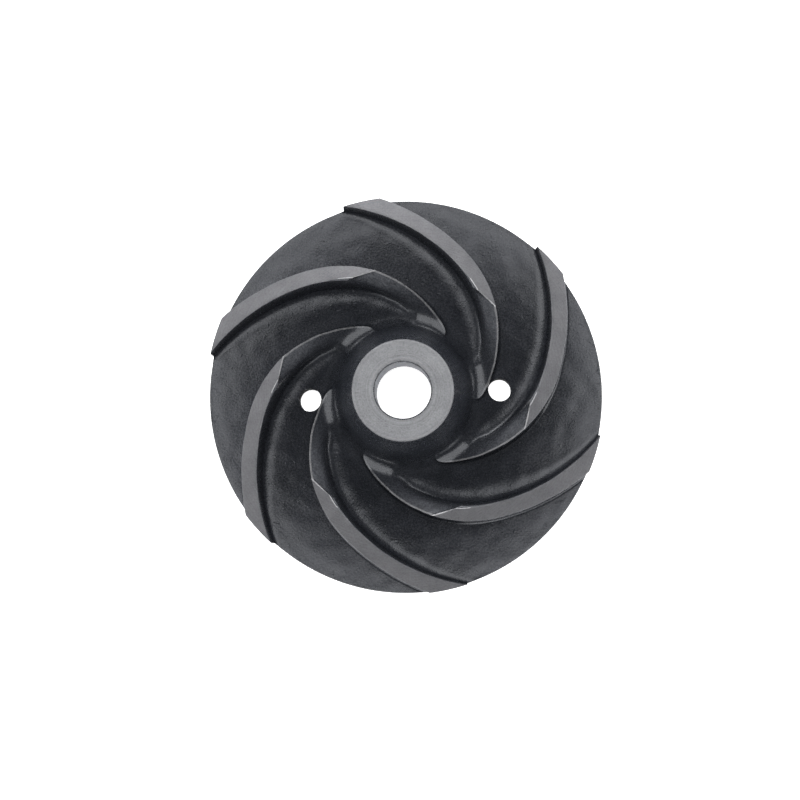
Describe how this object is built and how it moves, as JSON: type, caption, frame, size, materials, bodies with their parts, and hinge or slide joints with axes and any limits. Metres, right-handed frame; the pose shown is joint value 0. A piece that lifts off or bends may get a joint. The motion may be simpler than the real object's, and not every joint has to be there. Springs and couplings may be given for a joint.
{
  "type": "water pump impeller",
  "caption": "Open pump impeller: a cast disc with swept-back curved vanes, a tall tapered hub with a press-fit shaft bore, a rear seal seat and a pair of jacking holes.",
  "frame": {"origin": "on the shaft bore's axis, in the plane of the rear face", "axes": "+Z along the shaft axis from the rear face to the hub's front face, with the vanes on the +Z side; +X is 3 degrees short of the first jacking hole"},
  "size_m": [0.117, 0.117, 0.0315],
  "materials": {
    "cast_black": "black coated sand casting, fine grain",
    "turned_iron": "turned cast iron, dull grey"
  },
  "bodies": {
    "root": {"back_plate": "cast_black", "hub": "turned_iron", "vane_1": "cast_black", "vane_2": "cast_black", "vane_3": "cast_black", "vane_4": "cast_black", "vane_5": "cast_black", "vane_6": "cast_black"}
  },
  "joints": []
}
